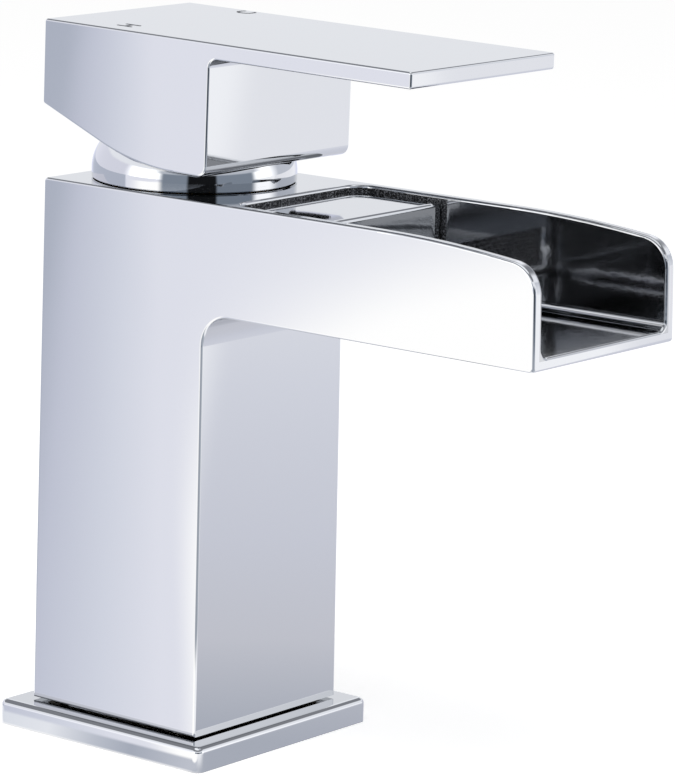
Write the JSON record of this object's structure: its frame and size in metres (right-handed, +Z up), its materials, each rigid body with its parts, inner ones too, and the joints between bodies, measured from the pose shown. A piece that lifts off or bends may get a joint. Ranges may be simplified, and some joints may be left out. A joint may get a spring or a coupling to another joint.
{
  "type": "waterfall basin faucet",
  "caption": "Chrome single-lever waterfall basin faucet: square column, open trough spout with a screened insert, dome-covered disc cartridge and a flat blade lever.",
  "frame": {"origin": "centre of the base plate's underside, over the centre of the tap hole in the basin", "axes": "+Z up; -Y towards the user, along the spout; +X to the user's right, which is the cold side"},
  "size_m": [0.0546, 0.1308, 0.1474],
  "materials": {
    "chrome_brass": "mirror-polished chrome plate over brass",
    "chrome_zinc": "mirror-polished chrome plate over die-cast zinc",
    "chrome_plastic": "bright chrome plate over moulded plastic",
    "steel_net": "fine stainless net, satin",
    "bright_steel": "turned stainless steel",
    "plain_brass": "plain machined brass",
    "black_rubber": "matt black rubber",
    "white_plastic": "moulded, off-white",
    "red_plastic": "moulded, red",
    "disc_ceramic": "lapped alumina ceramic"
  },
  "bodies": {
    "tap_body": {"base_plate": "chrome_brass", "deck_gasket": "black_rubber", "foot_gasket": "black_rubber", "body": "chrome_brass", "inlet_bushes": "plain_brass", "stud_bush": "plain_brass", "spout_insert": "chrome_plastic", "spout_screen": "steel_net", "cartridge_base": "white_plastic", "inlet_seals": "black_rubber", "port_seals": "black_rubber", "fixed_disc": "disc_ceramic", "cartridge_housing": "white_plastic", "stop_ring": "red_plastic", "cartridge_nut": "plain_brass", "dome_cover": "chrome_brass", "dome_ring": "black_rubber"},
    "swivel": {"spindle_holder": "white_plastic", "pivot_pin": "bright_steel"},
    "lever": {"lever_stem": "plain_brass", "handle": "chrome_zinc", "handle_screw": "bright_steel", "screw_plug": "chrome_plastic"},
    "disc_block": {"disc_carrier": "white_plastic", "moving_disc": "disc_ceramic"}
  },
  "joints": [
    {"name": "lever_swivel", "type": "hinge", "parent": "tap_body", "child": "swivel", "pos_m": [0, 0, 0.1179], "axis": [0, 0, 1], "range_deg": [-45, 45]},
    {"name": "lever_tilt", "type": "hinge", "parent": "swivel", "child": "lever", "pos_m": [0, 0, 0.1179], "axis": [-1, 0, 0], "range_deg": [0, 25]},
    {"name": "disc_slide", "type": "slide", "parent": "swivel", "child": "disc_block", "axis": [0, -1, 0], "range_m": [0, 0.0035]}
  ],
  "couplings": [
    {"joint": "disc_slide", "follows": "lever_tilt", "m_per_rad": 0.007937}
  ]
}
